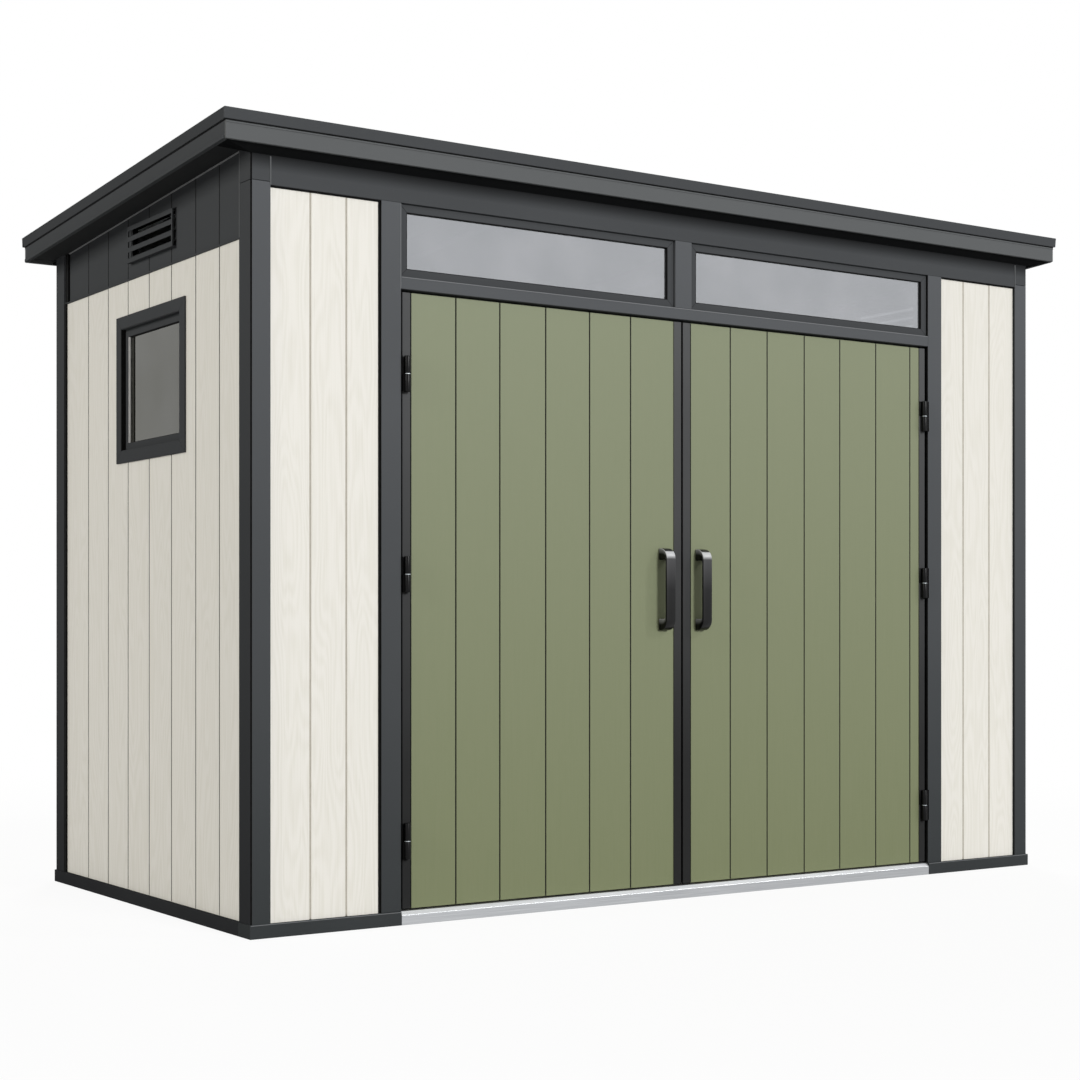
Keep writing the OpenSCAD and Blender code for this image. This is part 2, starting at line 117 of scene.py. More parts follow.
def two_tones(tree, factor, first, second, low=0.0, high=1.0):
    ramp = add_node(tree, "ShaderNodeValToRGB", inputs={"Fac": factor})
    ramp.color_ramp.elements[0].position = low
    ramp.color_ramp.elements[0].color = paint(first)
    ramp.color_ramp.elements[1].position = high
    ramp.color_ramp.elements[1].color = paint(second)
    return ramp.outputs["Color"]


# %% [markdown]
# ## Finish: embossed boards
# The cladding is steel coil, coated cream and rolled with a timber grain before it is
# folded into boards. The eye gets two things from it: faint upright streaks a few
# millimetres wide, and wider arched figures that differ from board to board. A noise
# stretched along the height gives the streaks. The figures are contour lines of a second,
# broader noise, and each board starts from its own slice of it. A third tone comes in with
# the height as painted light and shade: the cream boards a little darker towards the top,
# the sage green boards of the doors a little lighter. Those are rolled in the same way, but
# with hardly any relief.


# %% Embossed boards
def embossed_boards(name, light, shade, painted_light_tone, top_share, figure_depth, roughness, gloss, relief):
    finish, tree, shader, place = new_finish(name)
    board = add_node(tree, "ShaderNodeAttribute", {"attribute_name": "board"}).outputs["Fac"]
    # the slices of two boards lie far enough apart to look unlike each other
    slice_at = add_node(tree, "ShaderNodeMath", {"operation": "MULTIPLY"}, {0: board, 1: 3.7})
    # streaks about 4 mm wide and a fifth of a metre long
    along = add_node(tree, "ShaderNodeMapping", inputs={"Vector": place, "Scale": (1, 1, 0.018)})
    streak = add_node(tree, "ShaderNodeTexNoise", {"noise_dimensions": "4D"},
                      {"Vector": along, "W": slice_at, "Scale": 1 / (4 * MM), "Detail": 4.0,
                       "Roughness": 0.6})
    # arched figures about 90 mm wide and 0.7 m long, with contour lines a few millimetres apart
    arch_at = add_node(tree, "ShaderNodeMapping", inputs={"Vector": place, "Scale": (1, 1, 0.13)})
    arch = add_node(tree, "ShaderNodeTexNoise", {"noise_dimensions": "4D"},
                    {"Vector": arch_at, "W": slice_at, "Scale": 1 / (90 * MM), "Detail": 1.5,
                     "Roughness": 0.4})
    turns = add_node(tree, "ShaderNodeMath", {"operation": "MULTIPLY"}, {0: arch, 1: 120.0})
    lines = add_node(tree, "ShaderNodeMath", {"operation": "SINE"}, {0: turns})
    figure = add_node(tree, "ShaderNodeMapRange", inputs={"Value": lines, "From Min": -1.0, "From Max": 1.0})
    grain = add_node(tree, "ShaderNodeMix", inputs={"Factor": figure_depth, "A": streak, "B": figure})
    coat = two_tones(tree, grain, shade, light, 0.25, 0.6)
    # painted light and shade from the ground to the header, 2.2 m up
    height = add_node(tree, "ShaderNodeSeparateXYZ", inputs={"Vector": place}).outputs["Z"]
    height_share = add_node(tree, "ShaderNodeMapRange",
                     inputs={"Value": height, "From Max": 2.2, "To Max": top_share})
    tone = add_node(tree, "ShaderNodeMix", {"data_type": "RGBA"}, {0: height_share, 6: coat, 7: paint(painted_light_tone)})
    rough = add_node(tree, "ShaderNodeMapRange",
                     inputs={"Value": grain, "To Min": roughness + 0.08, "To Max": roughness - 0.05})
    bump = add_node(tree, "ShaderNodeBump",
                    inputs={"Height": grain, "Strength": relief, "Distance": 0.6 * MM})
    feed(tree, shader, {"Base Color": tone.outputs[2], "Specular IOR Level": gloss, "Roughness": rough,
                        "Normal": bump})
    return finish


cream_boards = embossed_boards("cream_embossed_coated_steel", "#e8e5dd", "#dedbd0", "#d3d0c7",
                               0.3, 0.19, 0.55, 0.8, 0.35)
sage_boards = embossed_boards("sage_coated_steel_boards", "#767c5b", "#737a58", "#878d75",
                              0.8, 0.08, 0.5, 0.3, 0.12)
print("board finishes", cream_boards.name, sage_boards.name)

# %% [markdown]
# ## Finish: powder coat
# The frame, the gables and the roof edge are folded steel with a satin dark grey powder
# coat. Baked powder never lies quite flat: it has a fine orange peel a couple of
# millimetres across, and big faces show slow changes of tone. The tone also follows the
# height, lighter at the top and darker at the foot, as painted light and shade, and each
# part of the shed has a coat of its own, made by one function: darker copies are painted
# shade, lighter ones painted highlights. The peel is drawn at 3 mm, coarser than the real
# one, so that it shows at all.


# %% Powder coat
def powder_coat(name, light, shade, roughness, gloss, low=0.0, high=2.3):
    finish, tree, shader, place = new_finish(name)
    drift = add_node(tree, "ShaderNodeTexNoise",
                     inputs={"Vector": place, "Scale": 1 / (600 * MM), "Detail": 3.0})
    # the painted shade is at the low height and the painted light at the high one, in metres:
    # from the ground to the top of the roof edge for most pieces
    height = add_node(tree, "ShaderNodeSeparateXYZ", inputs={"Vector": place}).outputs["Z"]
    height_share = add_node(tree, "ShaderNodeMapRange", inputs={"Value": height, "From Min": low, "From Max": high})
    tone = add_node(tree, "ShaderNodeMix", inputs={"Factor": 0.2, "A": height_share, "B": drift})
    rough = add_node(tree, "ShaderNodeMapRange",
                     inputs={"Value": drift, "To Min": roughness + 0.06, "To Max": roughness - 0.06})
    peel = add_node(tree, "ShaderNodeTexNoise",
                    inputs={"Vector": place, "Scale": 1 / (3 * MM), "Detail": 2.0})
    bump = add_node(tree, "ShaderNodeBump",
                    inputs={"Height": peel, "Strength": 0.08, "Distance": 0.15 * MM})
    feed(tree, shader, {"Base Color": two_tones(tree, tone, shade, light), "Specular IOR Level": gloss,
                        "Roughness": rough, "Normal": bump})
    return finish


# painted light and shade in the coats: grey_coat is the lit front and side_coat a darker copy, painted shade on
# the sides, the back and the roof cap; trim_coat and edge_coat are lighter copies, painted highlights;
# cap_coat, verge_coat and soffit_coat are darker copies, painted shade under the roof edge; stile_coat runs
# from painted shade at the foot to painted light at the top
grey_coat = powder_coat("anthracite_powder_coated_steel", "#636568", "#373a3b", 0.5, 0.0)
side_coat = powder_coat("shaded_anthracite_powder_coat", "#4f5153", "#303133", 0.5, 0.0)
trim_coat = powder_coat("faded_anthracite_powder_coat", "#646667", "#595b5d", 0.5, 0.0)
black_coat = powder_coat("black_satin_powder_coat", "#0c0c0d", "#080809", 0.32, 0.13)
matt_black = powder_coat("matt_black_powder_coat", "#090909", "#070707", 0.7, 0.02)
cap_coat = powder_coat("anthracite_cap_powder_coat", "#484a4c", "#2c2d2f", 0.5, 0.0)
stile_coat = powder_coat("graded_anthracite_powder_coat", "#676869", "#232323", 0.5, 0.0, 0.45)
edge_coat = powder_coat("worn_anthracite_edge", "#7e8082", "#6e7072", 0.5, 0.0)
verge_coat = powder_coat("verge_soffit_powder_coat", "#3a3b3c", "#343536", 0.6, 0.0)
soffit_coat = powder_coat("dark_soffit_powder_coat", "#1c1d1e", "#181919", 0.6, 0.0)
for coat in (grey_coat, side_coat, trim_coat, black_coat, matt_black, cap_coat, stile_coat, edge_coat,
             verge_coat, soffit_coat):
    print("coat", coat.name)

# %% [markdown]
# ## Finish: bare metals
# The threshold is drawn aluminium, left bare and brushed along its length. Its upward
# faces get a paler copy of the finish, a painted highlight. The rafters and the hinge
# washers are zinc-plated steel, where the zinc has set in pale and dark crystals. A
# stretched noise makes the brush lines, and Voronoi cells make the crystals.


# %% Bare metals
def brushed_metal(name, light, shade, roughness):
    finish, tree, shader, place = new_finish(name)
    along = add_node(tree, "ShaderNodeMapping", inputs={"Vector": place, "Scale": (0.01, 1, 1)})
    # brush lines of about 1 mm, drawn at 2 mm so that they show
    lines = add_node(tree, "ShaderNodeTexNoise",
                     inputs={"Vector": along, "Scale": 1 / (2 * MM), "Detail": 3.0})
    rough = add_node(tree, "ShaderNodeMapRange",
                     inputs={"Value": lines, "To Min": roughness - 0.07, "To Max": roughness + 0.07})
    bump = add_node(tree, "ShaderNodeBump",
                    inputs={"Height": lines, "Strength": 0.05, "Distance": 0.1 * MM})
    feed(tree, shader, {"Base Color": two_tones(tree, lines, shade, light, 0.3, 0.7), "Metallic": 1.0,
                        "Roughness": rough, "Normal": bump})
    return finish


def zinc_plate(name, light, shade, roughness):
    finish, tree, shader, place = new_finish(name)
    # zinc crystals about 9 mm across
    crystals = add_node(tree, "ShaderNodeTexVoronoi", inputs={"Vector": place, "Scale": 1 / (9 * MM)})
    level = add_node(tree, "ShaderNodeSeparateColor", inputs={"Color": crystals.outputs["Color"]})
    rough = add_node(tree, "ShaderNodeMapRange",
                     inputs={"Value": level, "To Min": roughness - 0.08, "To Max": roughness + 0.08})
    feed(tree, shader, {"Base Color": two_tones(tree, level, shade, light), "Metallic": 1.0,
                        "Roughness": rough})
    return finish


aluminium = brushed_metal("brushed_mill_aluminium", "#aeb0b2", "#9c9ea1", 0.38)
lit_top_aluminium = brushed_metal("foot_polished_aluminium", "#dcdee0", "#cdcfd1", 0.38)
zinc = zinc_plate("zinc_plated_steel", "#b3b8bb", "#9aa0a3", 0.45)
print("metals", aluminium.name, lit_top_aluminium.name, zinc.name)

# %% [markdown]
# ## Finish: window glass and rubber
# The panes look like a grey evening sky from outside, because a thin metal coat on the
# glass turns back part of the light. A partly metallic, partly clear surface stands for
# coat and glass together, with slow, shallow waves as in drawn glass. The side pane is a
# darker copy of the same glass, a painted dark reflection. The glazing strips are black
# rubber with a dull, slightly dusty skin; the same black also stands as painted shade in
# seams, gaps and corners. The bead under the roof, the fill in the seams of the front boards
# and the beads of the side window are the same in paler tones: the beads as painted
# highlights, the seam fill as painted shade.


# %% Window glass and rubber
def coated_glass(name, light, shade):
    finish, tree, shader, place = new_finish(name)
    # waves about a quarter of a metre long
    waves = add_node(tree, "ShaderNodeTexNoise",
                     inputs={"Vector": place, "Scale": 1 / (250 * MM), "Detail": 2.0})
    bump = add_node(tree, "ShaderNodeBump",
                    inputs={"Height": waves, "Strength": 0.1, "Distance": 0.4 * MM})
    feed(tree, shader, {"Base Color": two_tones(tree, waves, shade, light, 0.3, 0.7), "Metallic": 0.6,
                        "Roughness": 0.03, "IOR": 1.5, "Transmission Weight": 0.8, "Normal": bump})
    return finish


def dusty_rubber(name, dark, dusty):
    finish, tree, shader, place = new_finish(name)
    # specks of dust about 12 mm across
    dust = add_node(tree, "ShaderNodeTexNoise",
                    inputs={"Vector": place, "Scale": 1 / (12 * MM), "Detail": 3.0})
    feed(tree, shader, {"Base Color": two_tones(tree, dust, dark, dusty, 0.35, 0.7), "Roughness": 0.75,
                        "Specular IOR Level": 0.05})
    return finish


transom_glass = coated_glass("coated_transom_glass", "#c4c6ca", "#b9bcc0")
# a darker copy of the transom glass, a painted dark reflection
side_glass = coated_glass("tinted_side_window_glass", "#60605a", "#535349")
rubber = dusty_rubber("black_glazing_rubber", "#131313", "#1c1c1c")
pale_bead_paint = dusty_rubber("pale_grey_sealant", "#949596", "#a0a1a2")
seam_shade_cream = dusty_rubber("beige_joint_tape", "#b3ada1", "#bcb6ab")
white_lit_bead = dusty_rubber("white_glazing_bead", "#f0f0ef", "#e6e6e5")
print("glass", transom_glass.name, side_glass.name)
print("rubber", rubber.name, pale_bead_paint.name, seam_shade_cream.name, white_lit_bead.name)

# %% [markdown]
# ## From a mesh to a piece
# Every piece is made in place, in the shed's own frame, so its object stays at the origin.
# The last step is the same for all: normals point outwards, the mesh becomes an object, it
# rides on its body, takes over from the plain node it refines and gets its finish. Three
# small tools shape most meshes: a box between two corners, an outline pulled into a bar,
# and a bevel that eases edges.


# %% Piece helpers
def finish_piece(name, bm, body, finish, stands_for=(), round_below=None, others=()):
    bmesh.ops.recalc_face_normals(bm, faces=bm.faces)
    mesh = bpy.data.meshes.new(name)
    bm.to_mesh(mesh)
    bm.free()
    for coat in (finish, *others):
        mesh.materials.append(coat)
    if round_below:
        mesh.shade_smooth()
        mesh.set_sharp_from_angle(angle=math.radians(round_below))
    piece = bpy.data.objects.new(name, mesh)
    bpy.context.scene.collection.objects.link(piece)
    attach(piece, body)
    if stands_for:
        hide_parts(*stands_for)
    return piece


def slab(bm, low, high):
    low, high = Vector(low), Vector(high)
    place = Matrix.Translation((low + high) / 2) @ Matrix.Diagonal((high - low).to_4d())
    return bmesh.ops.create_cube(bm, size=1.0, matrix=place)["verts"]


def pull_face(bm, points, along):
    face = bm.faces.new([bm.verts.new(point) for point in points])
    made = bmesh.ops.extrude_face_region(bm, geom=[face])["geom"]
    bmesh.ops.translate(bm, vec=along, verts=[v for v in made if isinstance(v, bmesh.types.BMVert)])


def ease(bm, edges, width, segments=2):
    bmesh.ops.bevel(bm, geom=list(edges), offset=width, affect="EDGES", segments=segments,
                    profile=0.5, material=-1)


def sharp_edges(bm):
    return [e for e in bm.edges
            if len(e.link_faces) == 2 and e.is_convex and e.calc_face_angle() > math.radians(35)]


def everything(bm):
    return bm.verts[:] + bm.edges[:] + bm.faces[:]


# %% [markdown]
# ## Folded sections
# Posts, rails, trims and frames have the right shape in the imported model, but their edges
# are knife sharp. Sheet steel folds round a radius, and that radius catches a thin line of
# light. A copy of each node's mesh is merged, its flat faces are joined, and the sharp
# outward edges are bevelled by the fold's radius. The narrow faces of the door posts and
# stiles towards each other get black rubber as painted shade, so the gap round the doors
# reads black. The front soffit dips towards the wall, and past the corner posts a hip leads
# the dip out to the foot of the fascia.


# %% Folded sections from the nodes
def folded(node, finish, radius, segments=2, body="shed", shape=None,
           second=None, second_on=None):
    bm = bmesh.new()
    bm.from_mesh(frame["nodes"][node].data)
    bmesh.ops.remove_doubles(bm, verts=bm.verts, dist=0.01 * MM)
    bmesh.ops.dissolve_limit(bm, angle_limit=math.radians(0.5), verts=bm.verts, edges=bm.edges)
    if shape:
        shape(bm)
    ease(bm, sharp_edges(bm), radius, segments)
    if second:
        # a second finish on some faces, picked by the way they look
        bmesh.ops.recalc_face_normals(bm, faces=bm.faces)
        for face in bm.faces:
            face.material_index = int(second_on(face.normal))
    return finish_piece(node + "_folded", bm, body, finish, [node], others=[second] if second else ())


def sideways(normal):
    return abs(normal.x) > 0.95


def upward(normal):
    return normal.z > 0.4


near = 0.1 * MM
soffit_dip = 17 * MM


def hip_ends(bm):
    low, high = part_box("front_soffit")
    for corner, end in ((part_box("front_left_post")[0].x, low.x), (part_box("front_right_post")[1].x, high.x)):
        bmesh.ops.bisect_plane(bm, geom=everything(bm), dist=0.01 * MM, plane_co=(corner, 0, 0),
                               plane_no=(1, 0, 0))
        at_dip = [v for v in bm.verts if v.co.z - low.z < near]
        inner = min(at_dip, key=lambda v: abs(v.co.x - corner))
        outer = min(at_dip, key=lambda v: abs(v.co.x - end))
        eaves = min(bm.verts, key=lambda v: (abs(v.co.x - end) + abs(v.co.y - low.y), v.co.z))
        bmesh.ops.connect_verts(bm, verts=[inner, eaves])
        outer.co.z += soffit_dip


# fold radii: thick sections, roof edge, slim frames and thin soffit boards
fold_r, edge_r, slim_r, thin_r = 1.5 * MM, 1.2 * MM, 1.0 * MM, 0.8 * MM
for node in ("base_front", "transom_rail", "transom_mullion", "roof_deck", "roof_seams"):
    folded(node, grey_coat, fold_r)
# black rubber on the narrow faces towards the doors, painted shade in the gap
for node in ("left_door_post", "right_door_post"):
    folded(node, grey_coat, fold_r, second=rubber, second_on=sideways)
# the sides and back take the darker side coat, painted shade
for node in ("base_back", "base_sides", "back_band"):
    folded(node, side_coat, fold_r)
# the header is painted darkest right under the soffit, painted shade from the roof edge
header_low, header_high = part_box("front_header")
header_coat = powder_coat("sooty_anthracite_powder_coat", "#0a0a0a", "#505254", 0.5, 0.0,
                          header_high.z - 62 * MM, header_high.z - 12 * MM)
folded("front_header", header_coat, fold_r)
# the soffits take near-black coats, painted shade under the overhang
folded("front_soffit", soffit_coat, thin_r, shape=hip_ends)
folded("back_soffit", soffit_coat, thin_r)
folded("side_soffits", verge_coat, thin_r)
folded("side_fascias", side_coat, edge_r)
# the front and back fascias take the lighter trim coat, painted light
folded("eaves_fascias", trim_coat, edge_r)
for node in ("left_transom_frame", "right_transom_frame", "side_window_casing", "side_window_sash"):
    folded(node, side_coat, slim_r)
# upward faces take the paler copy, a painted highlight
folded("threshold", aluminium, slim_r, second=lit_top_aluminium, second_on=upward)
folded("rafters", zinc, fold_r)
# stiles: coat graded from painted shade at the foot to painted light at the top, black rubber on the narrow
# faces as painted shade
for side in ("left", "right"):
    folded(side + "_door_stiles", stile_coat, fold_r, body=side + "_door", second=rubber, second_on=sideways)
print("folded pieces made")

# %% [markdown]
# ## Roof cap
# The cap along the roof edge doesn't hang straight: its face leans in towards the fascia at
# the foot, so it looks down a little and stays darker than the fascia below it. Its coats
# are also darker copies than the fascia's, painted shade. The same folded copy is used,
# with the foot of the outer face moved in by 3 mm first.

# %% Roof cap
cap_low, cap_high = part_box("roof_cap_eaves")
cap_lean = 3 * MM
# the roof falls from front to back, as an angle and as metres per metre
fall = math.radians(3.4)
slope = 0.0594


def cap_top(y):
    return cap_high.z - slope * (y - cap_low.y)


def lean_in(axis):
    def shape(bm):
        for v in bm.verts:
            for edge, inward in ((cap_low[axis], 1), (cap_high[axis], -1)):
                if abs(v.co[axis] - edge) < near and cap_top(v.co.y) - v.co.z > 20 * MM:
                    v.co[axis] += inward * cap_lean
    return shape


# both caps take darker coats than the fascia, painted shade
folded("roof_cap_eaves", side_coat, edge_r, shape=lean_in(1))
folded("roof_cap_sides", cap_coat, edge_r, shape=lean_in(0))
print("roof cap leans in by", cap_lean)

# %% [markdown]
# ## Corner posts
# Each corner post is folded from two strips that meet at the outer corner, where they leave
# a narrow groove from the base to the soffit, filled with black rubber as painted shade. The
# outline of the post, with the groove as a notch in its outer corner, is drawn once as a face
# and pulled up to the height. A block of the same outline stands on each front post, beside
# the header, over a fine joint.


# %% Corner posts with a groove
def grooved_post(bm, low, high, outer_x, outer_y, groove):
    # outline from the grooved corner round the plan
    x_far = low.x if outer_x == high.x else high.x
    y_far = low.y if outer_y == high.y else high.y
    notch_x = outer_x + (groove if x_far > outer_x else -groove)
    notch_y = outer_y + (groove if y_far > outer_y else -groove)
    plan = [(notch_x, outer_y), (x_far, outer_y), (x_far, y_far), (outer_x, y_far), (outer_x, notch_y),
            (notch_x, notch_y)]
    pull_face(bm, [(x, y, low.z) for x, y in plan], (0, 0, high.z - low.z))


def post_tones(bm, groove):
    # the front strip keeps the first coat, the other faces get the second, a darker copy as
    # painted shade, and the groove gets black rubber as painted shade
    bmesh.ops.recalc_face_normals(bm, faces=bm.faces)
    ends = [[pick(v.co[i] for v in bm.verts) for pick in (min, max)] for i in (0, 1)]
    for face in bm.faces:
        middle = face.calc_center_median()
        inset = [min(middle[i] - ends[i][0], ends[i][1] - middle[i]) for i in (0, 1)]
        in_groove = all(near < d < 1.1 * groove for d in inset)
        face.material_index = 2 if in_groove else int(face.normal.y > -0.5)


def cut_off(bm, point, normal, above=True):
    cut = bmesh.ops.bisect_plane(bm, geom=everything(bm), dist=0.001 * MM, plane_co=point, plane_no=normal,
                                 clear_outer=above, clear_inner=not above)["geom_cut"]
    bmesh.ops.holes_fill(bm, edges=[e for e in cut if isinstance(e, bmesh.types.BMEdge)])


# the soffit plane starts over the front face of the posts and has the roof's fall
post_low, post_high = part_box("front_left_post")
block_low, block_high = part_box("header_corner_blocks")
soffit_front = Vector((0, block_low.y, block_high.z))
soffit_normal = Vector((0, math.sin(fall), math.cos(fall)))
post_groove = 4 * MM
for node in ("front_left_post", "front_right_post", "back_left_post", "back_right_post"):
    low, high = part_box(node)
    outer_x = low.x if "left" in node else high.x
    outer_y = low.y if "front" in node else high.y
    bm = bmesh.new()
    grooved_post(bm, low, high, outer_x, outer_y, post_groove)
    if "back" in node:
        cut_off(bm, soffit_front, soffit_normal)
    post_tones(bm, post_groove)
    finish_piece(node + "_folded", bm, "shed", grey_coat, [node],
                 others=[side_coat, rubber])

blocks = bmesh.new()
block_joint = 1.8 * MM
width = post_high.x - post_low.x
for x0, x1, outer_x in ((block_low.x, block_low.x + width, block_low.x),
                        (block_high.x - width, block_high.x, block_high.x)):
    grooved_post(blocks, Vector((x0, block_low.y, block_low.z + block_joint)),
                 Vector((x1, block_high.y, block_high.z)), outer_x, block_low.y, post_groove)
cut_off(blocks, soffit_front, soffit_normal)
post_tones(blocks, post_groove)
# the blocks share the header's coat, painted darkest under the soffit as painted shade
finish_piece("header_corner_blocks_folded", blocks, "shed", header_coat,
             ["header_corner_blocks"], others=[side_coat, rubber])
print("corner posts made, soffit at", round(block_high.z, 3))

# %% [markdown]
# ## Boards
# Walls and doors are hollow boards that lock into each other. Both faces show a narrow slot
# at each joint, and the long edges are rounded. Each board is a box with its upright edges
# bevelled, one sheet a little thinner than the boards fills all the slots in black rubber or
# a darker cream, painted shade in the seams, and a window or vent is left open by cutting
# boards short around it. A number per board, kept on the mesh, tells the finish where each
# board starts.


# %% Boarded panels
def around_hole(a, b, bottom, top, hole):
    if hole is None or hole[1] <= a or hole[0] >= b:
        return [(a, b, bottom, top)]
    h0, h1, k0, k1 = hole
    parts = []
    if h0 > a:
        parts.append((a, h0, bottom, top))
    if h1 < b:
        parts.append((h1, b, bottom, top))
    m0, m1 = max(a, h0), min(b, h1)
    return parts + [(m0, m1, bottom, k0), (m0, m1, k1, top)]


def panel_box(bm, across, a, t, z):
    # a box from its spans across the boards, through the wall and up
    corner, far = [0, 0, z[0]], [0, 0, z[1]]
    corner[across], far[across] = a
    corner[1 - across], far[1 - across] = t
    return slab(bm, corner, far)


board_round = 1.5 * MM
seam_shade_depth = 0.8 * MM
seam_shade_short = 2 * MM


def boarded(name, node, body, finish, seams, slot_w, hole=None, under_soffit=False, first_gap=0,
            seam_shade=rubber):
    low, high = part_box(node)
    across = 0 if high.x - low.x > high.y - low.y else 1
    t0, t1 = low[1 - across], high[1 - across]
    bm = bmesh.new()
    half = slot_w / 2
    last = len(seams) - 2
    for i in range(last + 1):
        a = seams[i] + (half if i > 0 else first_gap)
        b = seams[i + 1] - (half if i < last else 0)
        # edges at the ends of the whole panel and round a hole stay sharp
        rounded = [c for c in (a, b) if (c, i) not in ((seams[0], 0), (seams[-1], last))]
        for a0, a1, z0, z1 in around_hole(a, b, low.z, high.z, hole):
            verts = set(panel_box(bm, across, (a0, a1), (t0, t1), (z0, z1)))
            long_edges = {e for v in verts for e in v.link_edges
                          if e.other_vert(v) in verts and abs(e.verts[0].co.z - e.verts[1].co.z) > 1 * MM
                          and any(abs(e.verts[0].co[across] - c) < 0.01 * MM for c in rounded)}
            if long_edges:
                ease(bm, long_edges, board_round)
    boards = set(bm.faces)
    # the sheet in the slots, painted shade in the seams
    for a0, a1, z0, z1 in around_hole(seams[0], seams[-1], low.z + seam_shade_short, high.z - seam_shade_short, hole):
        panel_box(bm, across, (a0, a1), (t0 + seam_shade_depth, t1 - seam_shade_depth), (z0, z1))
    for face in bm.faces:
        face.material_index = 0 if face in boards else 1
    if under_soffit:
        cut_off(bm, soffit_front, soffit_normal)
    number = bm.verts.layers.float.new("board")
    for v in bm.verts:
        v[number] = sum(v.co[across] > s for s in seams[1:-1])
    return finish_piece(name, bm, body, finish, [node], others=[seam_shade])


def cream_wall(name, node, seams, slot_w, hole=None, seam_shade=rubber):
    return boarded(name, node, "shed", cream_boards, seams, slot_w, hole, seam_shade=seam_shade)


# seams of the front panels, counted from the corner posts
low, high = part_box("front_left_cladding")
cream_wall("front_left_boards", "front_left_cladding",
           [low.x, low.x + 130 * MM, low.x + 246 * MM, high.x], 5 * MM, seam_shade=seam_shade_cream)
low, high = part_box("front_right_cladding")
cream_wall("front_right_boards", "front_right_cladding",
           [low.x, high.x - 257 * MM, high.x - 125 * MM, high.x], 6 * MM, seam_shade=seam_shade_cream)
print("front panels boarded")

# %% [markdown]
# The side walls have boards about 172 mm wide, with the first one cut narrower at the front
# and the last one wider at the back. The dark gable panels above repeat the same seams, a
# little further back, and the vent covers about two boards. The back is divided evenly.

# %% Side walls, gables and back
low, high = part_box("left_wall")
side_seams = [low.y] + [low.y + d * MM for d in (152, 318.5, 497, 669.5, 840.5, 1008.5, 1183.5)] + [high.y]


def bars_hole(node, bar):
    low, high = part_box(node)
    return (low.y + bar, high.y - bar, low.z + bar, high.z - bar)


casing_bar = 39 * MM
vent_rim = 11 * MM
gable_shift = 9 * MM
side_slot, gable_slot, back_slot = 4.5 * MM, 5 * MM, 2.2 * MM
cream_wall("left_wall_boards", "left_wall", side_seams, side_slot,
           bars_hole("side_window_casing", casing_bar))
cream_wall("right_wall_boards", "right_wall", side_seams, side_slot)
gable_seams = side_seams[:1] + [s + gable_shift for s in side_seams[1:-1]] + side_seams[-1:]
# the gables take the darker side coat, painted shade
for side in ("left", "right"):
    boarded(side + "_gable_boards", side + "_gable", "shed", side_coat, gable_seams,
            gable_slot, bars_hole(side + "_vent", vent_rim), under_soffit=True)
low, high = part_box("back_wall")
back_count = 17
back_seams = [low.x + (high.x - low.x) * i / back_count for i in range(back_count + 1)]
cream_wall("back_wall_boards", "back_wall", back_seams, back_slot)
print("side boards", len(side_seams) - 1, "back boards", back_count)

# %% [markdown]
# Both doors use boards about 163 mm wide, cut to fit by hand, so no two are quite equal. Six
# fill the left leaf, and the right leaf, which is a little wider, ends with a narrow strip
# beside its hinge stile.

# %% Door boards
door_seams = {"left": (0, 159, 315.5, 483.7, 649.5, 808.9),
              "right": (0, 169.7, 328, 491.7, 653, 820.5, 983.8)}
for side, seams in door_seams.items():
    low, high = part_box(side + "_door_panel")
    boarded(side + "_door_boards", side + "_door_panel", side + "_door", sage_boards,
            [low.x + d * MM for d in seams] + [high.x], 4 * MM, first_gap=5 * MM)
    print(side, "door boards", len(seams))

# %% [markdown]
# ## Handles
# The black coat of the handles is painted paler on the front towards the top, a painted
# reflection, the other faces are painted near black as painted shade, and the upper bend
# carries a bright band, a painted highlight. All follow the way a face looks, so the coat
# reads the direction of each face before it turns with the door.

# %% Handle coat
handle_low, handle_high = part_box("left_door_handle")
handle_coat = powder_coat("handled_black_powder_coat", "#2a2a2c", "#080808", 0.3, 0.2,
                          handle_low.z + 60 * MM, handle_high.z + 20 * MM)
tree = handle_coat.node_tree
shader = tree.nodes["Principled BSDF"]
graded = shader.inputs["Base Color"].links[0].from_socket
normal = add_node(tree, "ShaderNodeTexCoord").outputs["Normal"]
facing = add_node(tree, "ShaderNodeSeparateXYZ", inputs={"Vector": normal})
# only faces that look to the front keep the paler tone, a painted reflection; the rest go
# near black, painted shade
front = add_node(tree, "ShaderNodeMapRange",
                 inputs={"Value": facing.outputs["Y"], "From Min": -0.3, "From Max": -0.8})
front_reflection = add_node(tree, "ShaderNodeMix", {"data_type": "RGBA"}, {0: front, 6: paint("#040404"), 7: graded})
# the painted highlight band starts where the bend begins to look up and ends before the
# top of the bend
band_start = add_node(tree, "ShaderNodeMapRange",
                      inputs={"Value": facing.outputs["Z"], "From Min": 0.0, "From Max": 0.32})
band_end = add_node(tree, "ShaderNodeMapRange",
                    inputs={"Value": facing.outputs["Z"], "From Min": 0.76, "From Max": 0.66})
glint = add_node(tree, "ShaderNodeMath", {"operation": "MULTIPLY"}, {0: band_start, 1: band_end})
tone = add_node(tree, "ShaderNodeMix", {"data_type": "RGBA"},
                {0: glint, 6: front_reflection.outputs[2], 7: paint("#c4c5c7")})
feed(tree, shader, {"Base Color": tone.outputs[2]})
print("coat", handle_coat.name)

# %% [markdown]
# A pull handle is a flat bar bent twice. Its outline is drawn in the upright plane that
# runs through the bar: a wide bend at each front corner, a deep leg at each end and small
# fillets inside. The outline is pulled to the width of the bar and its edges are rounded.


# %% Handles
def arc(centre, radius, start, end, steps):
    turns = [math.radians(start + (end - start) * i / steps) for i in range(steps + 1)]
    return [(centre[0] + radius * math.cos(a), centre[1] + radius * math.sin(a)) for a in turns]


